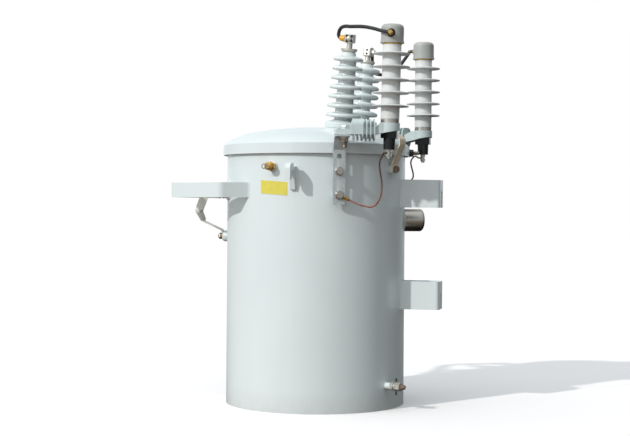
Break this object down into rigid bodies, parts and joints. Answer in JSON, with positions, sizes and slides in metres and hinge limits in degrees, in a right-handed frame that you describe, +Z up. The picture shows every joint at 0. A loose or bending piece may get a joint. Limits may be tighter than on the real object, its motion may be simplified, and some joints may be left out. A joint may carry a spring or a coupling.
{
  "type": "pole mounted transformer",
  "caption": "Round oil-filled distribution transformer with domed cover, high voltage bushings, surge arresters on finned brackets, pole hangers and a low voltage guard.",
  "frame": {"origin": "centre of the tank's lower edge, on the level that it rests on", "axes": "+Z up along the tank axis, +Y towards the pole hangers, +X the side with the relief valve"},
  "size_m": [0.634, 0.752, 1.0598],
  "materials": {
    "tank_paint": "semi-gloss pale grey enamel",
    "gasket": "matte",
    "oil": "sealed inside the tank",
    "porcelain": "glazed porcelain",
    "tinned": "tinned bronze and copper",
    "stainless": "satin stainless",
    "polymer": "satin polymer housing",
    "cap_grey": "matte moulded plastic",
    "bracket_grey": "moulded polyester",
    "zinc": "hot-dip galvanised",
    "black_plastic": "moulded phenolic",
    "black_cover": "extruded cover on a formed conductor",
    "copper": "tarnished bare copper",
    "brass": "machined brass",
    "bond_strap": "tinned flat copper strap"
  },
  "bodies": {
    "root": {"tank_shell": "tank_paint", "tank_base": "tank_paint", "tank_cover": "tank_paint", "cover_gasket": "gasket", "core_and_oil": "oil", "hv_flange_near": "tank_paint", "hv_flange_far": "tank_paint", "hv_bushing_near": "porcelain", "hv_bushing_far": "porcelain", "hv_terminal_near": "tinned", "hv_terminal_far": "tinned", "arrester_ring_near": "stainless", "arrester_ring_far": "stainless", "arrester_near": "polymer", "arrester_far": "polymer", "arrester_cap_near": "cap_grey", "arrester_cap_far": "cap_grey", "arrester_bracket_near": "bracket_grey", "arrester_bracket_far": "bracket_grey", "bracket_strip_near": "zinc", "bracket_strip_far": "zinc", "disconnector_near": "black_plastic", "disconnector_far": "black_plastic", "disconnector_stud_near": "stainless", "disconnector_stud_far": "stainless", "hv_jumper_near": "black_cover", "hv_jumper_far": "black_cover", "ground_lead_near": "copper", "ground_lead_far": "copper", "upper_hanger": "tank_paint", "lower_hanger": "tank_paint", "lifting_lug_near": "tank_paint", "lifting_lug_far": "tank_paint", "relief_valve": "brass", "tap_changer_cap": "stainless", "drain_valve": "tinned", "cover_bond_strap": "bond_strap", "lv_guard": "tank_paint", "lv_bushing_near": "porcelain", "lv_bushing_middle": "porcelain", "lv_bushing_far": "porcelain", "lv_terminals": "tinned", "neutral_strap": "tinned"}
  },
  "joints": []
}
